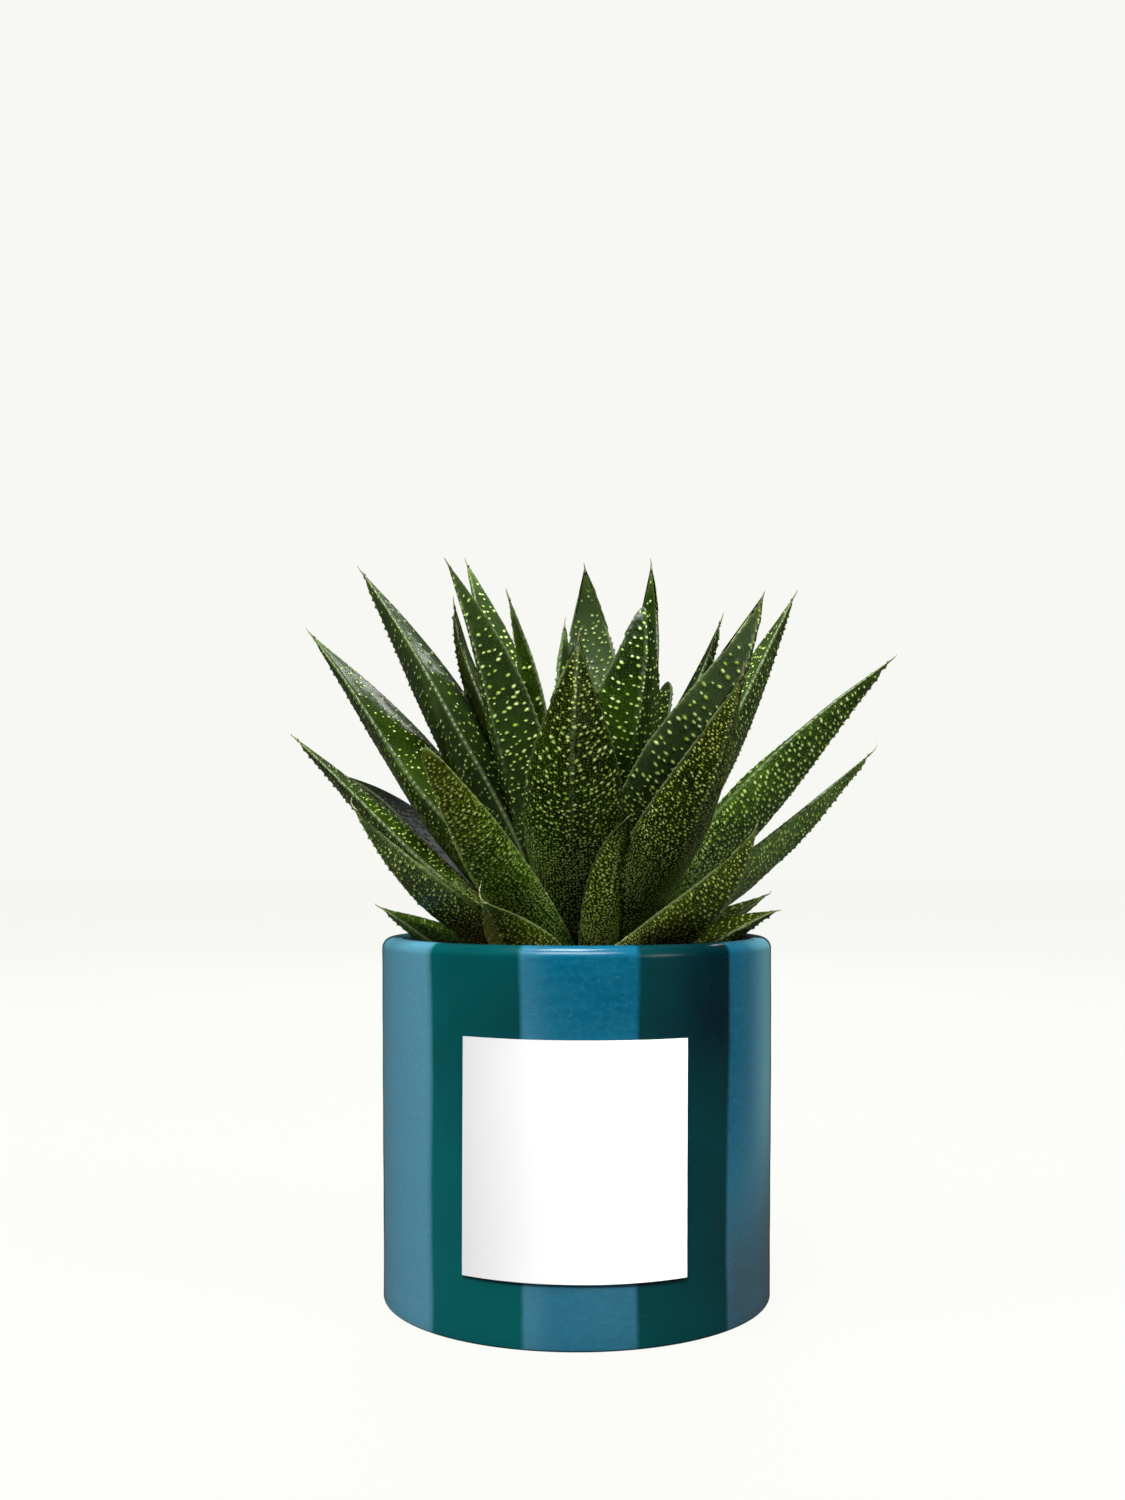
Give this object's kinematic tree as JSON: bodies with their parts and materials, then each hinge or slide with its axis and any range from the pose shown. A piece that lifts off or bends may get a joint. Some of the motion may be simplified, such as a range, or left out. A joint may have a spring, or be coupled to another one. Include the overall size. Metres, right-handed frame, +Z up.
{
  "type": "potted gasteria",
  "caption": "Gasteria succulent: a rosette of keeled, pale-spotted dark green leaves in a straight glazed ceramic pot with blue and teal upright stripes and a blank white label",
  "frame": {"origin": "middle of the pot's flat underside, on the surface the pot stands on", "axes": "+Z up along the pot's axis; -Y is the front, where the label is; +X is to the right seen from the front"},
  "size_m": [0.1286, 0.1058, 0.1662],
  "materials": {
    "pot_glaze": "satin",
    "label_paper": "matte",
    "potting_soil": "matte",
    "stem_flesh": "satin",
    "leaf_outer": "satin",
    "leaf_inner": "satin"
  },
  "bodies": {
    "root": {"pot": "pot_glaze", "label": "label_paper", "soil": "potting_soil", "stem": "stem_flesh", "leaf_01": "leaf_outer", "leaf_02": "leaf_outer", "leaf_03": "leaf_outer", "leaf_04": "leaf_outer", "leaf_05": "leaf_outer", "leaf_06": "leaf_outer", "leaf_07": "leaf_outer", "leaf_08": "leaf_outer", "leaf_09": "leaf_outer", "leaf_10": "leaf_outer", "leaf_11": "leaf_outer", "leaf_12": "leaf_outer", "leaf_13": "leaf_outer", "leaf_14": "leaf_outer", "leaf_15": "leaf_outer", "leaf_16": "leaf_outer", "leaf_17": "leaf_outer", "leaf_18": "leaf_outer", "leaf_19": "leaf_outer", "leaf_20": "leaf_outer", "leaf_21": "leaf_inner", "leaf_22": "leaf_inner", "leaf_23": "leaf_inner", "leaf_24": "leaf_inner", "leaf_25": "leaf_inner", "leaf_26": "leaf_inner", "leaf_27": "leaf_inner", "leaf_28": "leaf_inner", "leaf_29": "leaf_inner", "leaf_30": "leaf_inner", "leaf_31": "leaf_inner", "leaf_32": "leaf_inner", "leaf_33": "leaf_inner", "leaf_34": "leaf_inner", "leaf_35": "leaf_inner", "leaf_36": "leaf_inner", "leaf_37": "leaf_inner", "leaf_38": "leaf_inner", "leaf_39": "leaf_inner"}
  },
  "joints": []
}
